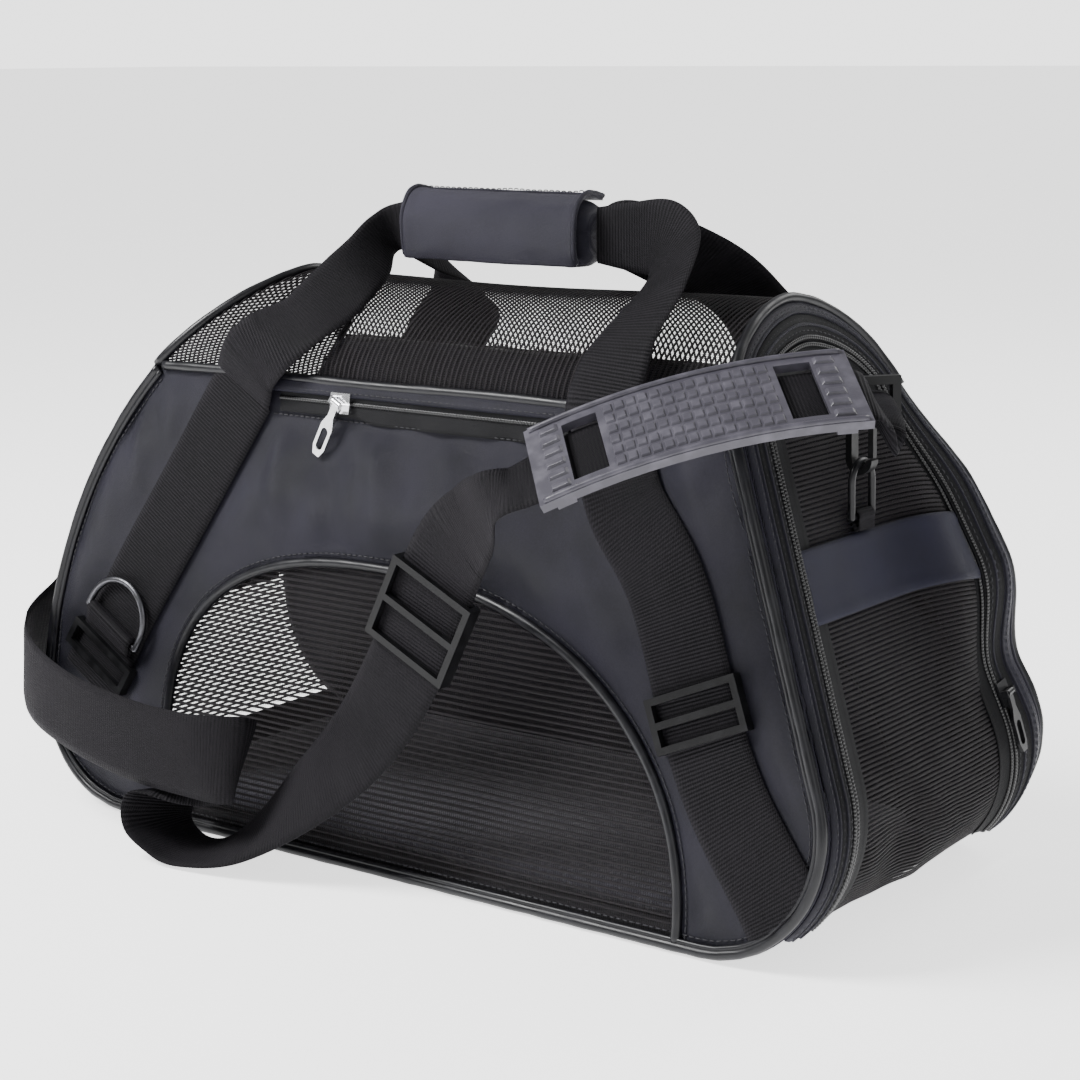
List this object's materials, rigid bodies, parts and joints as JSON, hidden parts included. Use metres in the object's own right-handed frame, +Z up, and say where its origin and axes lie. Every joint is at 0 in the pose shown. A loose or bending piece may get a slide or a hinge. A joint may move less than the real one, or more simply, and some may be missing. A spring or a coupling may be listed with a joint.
{
  "type": "soft pet transport carrier",
  "caption": "Soft-sided arched carry bag for a small pet with mesh windows, mesh roof, drop-down mesh end door, padded handle and clip-on shoulder strap.",
  "frame": {"origin": "centre of the flat floor, on the surface the bag stands on", "axes": "+X towards the end with the door, +Y towards the rear panel, +Z up"},
  "size_m": [0.4915, 0.2513, 0.2932],
  "materials": {
    "panel_fabric": "plain woven polyester with a faint sheen",
    "mesh": "open ribbed mesh",
    "webbing": "cross-ribbed webbing",
    "piping": "shiny covered piping",
    "trim_fabric": "close-woven band",
    "zip_tape": "zip tape with a coil",
    "black_plastic": "moulded buckle plastic",
    "pad_rubber": "moulded pad with a grid",
    "wire": "polished wire",
    "dark_wire": "dark nickel wire",
    "fleece": "short fleece",
    "board": "stiffening board",
    "painted_zip": "black enamel"
  },
  "bodies": {
    "bag": {"base_panel": "panel_fabric", "base_board": "board", "front_panel": "panel_fabric", "rear_panel": "panel_fabric", "front_window": "mesh", "rear_window": "mesh", "front_window_piping": "piping", "rear_window_piping": "piping", "roof_mesh": "mesh", "front_edge_piping": "piping", "rear_edge_piping": "piping", "seam_piping": "piping", "door_arch_piping": "piping", "closed_arch_piping": "piping", "door_frame": "trim_fabric", "frame_zip": "zip_tape", "closed_mesh": "mesh", "closed_band": "trim_fabric", "closed_ring_tab": "webbing", "pocket_zip": "zip_tape", "pocket_lining": "panel_fabric", "front_sewn_straps": "webbing", "rear_sewn_straps": "webbing", "front_handle_straps": "webbing", "rear_handle_straps": "webbing", "front_ring_tab": "webbing", "shoulder_strap": "webbing", "shoulder_strap_end": "webbing"},
    "mat": {"fleece_mat": "fleece"},
    "door": {"door_mesh": "mesh", "door_zip": "zip_tape", "door_band": "trim_fabric", "door_ring_tab": "webbing"},
    "grip": {"grip_core": "webbing", "grip_wrap": "trim_fabric", "grip_closure": "webbing"},
    "grip_cover": {"grip_flap": "trim_fabric"},
    "front_bow": {"front_ring": "dark_wire"},
    "glide_front_left": {"front_left_glide": "black_plastic"},
    "glide_front_right": {"front_right_glide": "black_plastic"},
    "glide_rear_left": {"rear_left_glide": "black_plastic"},
    "glide_rear_right": {"rear_right_glide": "black_plastic"},
    "door_bow": {"door_ring": "wire"},
    "door_snap": {"door_hook": "black_plastic"},
    "door_latch": {"door_hook_gate": "black_plastic"},
    "door_swivel": {"door_hook_eye": "black_plastic"},
    "closed_bow": {"closed_ring": "wire"},
    "closed_snap": {"closed_hook": "black_plastic"},
    "closed_latch": {"closed_hook_gate": "black_plastic"},
    "closed_swivel": {"closed_hook_eye": "black_plastic"},
    "pocket_runner": {"pocket_slider": "wire"},
    "pocket_tab": {"pocket_pull": "wire"},
    "door_runner": {"door_slider": "painted_zip"},
    "door_tab": {"door_pull": "painted_zip"},
    "pad": {"shoulder_pad": "pad_rubber"},
    "buckle": {"strap_adjuster": "black_plastic"}
  },
  "joints": [
    {"name": "door_fold", "type": "hinge", "parent": "bag", "child": "door", "pos_m": [0.1955, 0, 0.014], "axis": [0, 1, 0], "range_deg": [0, 80], "deforming": ["shoulder_strap_end"]},
    {"name": "mat_lift", "type": "slide", "parent": "bag", "child": "mat", "axis": [0, 0, 1], "range_m": [0, 0.03]},
    {"name": "handle_lift", "type": "slide", "parent": "bag", "child": "grip", "axis": [0, 0, 1], "range_m": [-0.004, 0.015], "deforming": ["front_handle_straps", "rear_handle_straps"]},
    {"name": "grip_flap_open", "type": "hinge", "parent": "grip", "child": "grip_cover", "pos_m": [0, -0.002, 0.2933], "axis": [-1, 0, 0], "range_deg": [0, 120]},
    {"name": "front_ring_swing", "type": "hinge", "parent": "bag", "child": "front_bow", "pos_m": [-0.1757, -0.08717, 0.08729], "axis": [0.8725, -0.0714, -0.4834], "range_deg": [0, 140]},
    {"name": "front_left_glide_slide", "type": "slide", "parent": "bag", "child": "glide_front_left", "axis": [0.4886, 0.1274, 0.8632], "range_m": [-0.008, 0]},
    {"name": "front_right_glide_slide", "type": "slide", "parent": "bag", "child": "glide_front_right", "axis": [-0.3923, 0.1343, 0.91], "range_m": [-0.012, 0.012]},
    {"name": "rear_left_glide_slide", "type": "slide", "parent": "bag", "child": "glide_rear_left", "axis": [0.4886, -0.1274, 0.8632], "range_m": [-0.008, 0]},
    {"name": "rear_right_glide_slide", "type": "slide", "parent": "bag", "child": "glide_rear_right", "axis": [-0.3923, -0.1343, 0.91], "range_m": [-0.012, 0.012]},
    {"name": "door_ring_swing", "type": "hinge", "parent": "door", "child": "door_bow", "pos_m": [0.17551, 0, 0.16507], "axis": [0, 1, 0], "range_deg": [0, 110]},
    {"name": "door_hook_swing", "type": "hinge", "parent": "door_bow", "child": "door_snap", "pos_m": [0.17512, 0, 0.18747], "axis": [0, 1, 0], "range_deg": [0, 45]},
    {"name": "door_hook_gate_press", "type": "hinge", "parent": "door_snap", "child": "door_latch", "pos_m": [0.17964, 0, 0.20305], "axis": [0, 1, 0], "range_deg": [0, 12], "stiffness_Nm_per_rad": 0.004, "springref_deg": -14.32},
    {"name": "door_hook_swivel", "type": "hinge", "parent": "door_snap", "child": "door_swivel", "pos_m": [0.17478, 0, 0.20647], "axis": [-0.0175, 0, 0.9998], "range_deg": [-4, 40]},
    {"name": "closed_ring_swing", "type": "hinge", "parent": "bag", "child": "closed_bow", "pos_m": [-0.20523, 0, 0.15588], "axis": [0, 1, 0], "range_deg": [0, 110]},
    {"name": "closed_hook_swing", "type": "hinge", "parent": "closed_bow", "child": "closed_snap", "pos_m": [-0.21902, 0, 0.13823], "axis": [0, 1, 0], "range_deg": [0, 90], "deforming": ["shoulder_strap"]},
    {"name": "closed_hook_gate_press", "type": "hinge", "parent": "closed_snap", "child": "closed_latch", "pos_m": [-0.22837, 0, 0.12497], "axis": [0, 1, 0], "range_deg": [0, 12], "stiffness_Nm_per_rad": 0.004, "springref_deg": -14.32},
    {"name": "closed_hook_swivel", "type": "hinge", "parent": "closed_snap", "child": "closed_swivel", "pos_m": [-0.22489, 0, 0.12016], "axis": [0.309, 0, 0.9511], "range_deg": [-12, 12], "deforming": ["shoulder_strap"]},
    {"name": "pocket_slider_run", "type": "slide", "parent": "bag", "child": "pocket_runner", "axis": [1, 0, 0], "range_m": [-0.031, 0.116]},
    {"name": "pocket_pull_lift", "type": "hinge", "parent": "pocket_runner", "child": "pocket_tab", "pos_m": [-0.046, -0.0707, 0.20161], "axis": [-0.8829, 0.0686, 0.4644], "range_deg": [0, 110]},
    {"name": "door_slider_run", "type": "slide", "parent": "bag", "child": "door_runner", "axis": [-0.355, -0.1365, 0.9248], "range_m": [0, 0.12]},
    {"name": "door_pull_lift", "type": "hinge", "parent": "door_runner", "child": "door_tab", "pos_m": [0.21058, 0.06969, 0.0804], "axis": [0.0489, -0.9906, -0.1275], "range_deg": [0, 110]},
    {"name": "pad_shift", "type": "hinge", "parent": "bag", "child": "pad", "pos_m": [0.13665, 0.02784, -0.0322], "axis": [-0.64, 0.6593, 0.3947], "range_deg": [0, 2.5]},
    {"name": "adjuster_slide", "type": "slide", "parent": "bag", "child": "buckle", "axis": [0.4384, 0, 0.8988], "range_m": [-0.007, 0.007]}
  ]
}
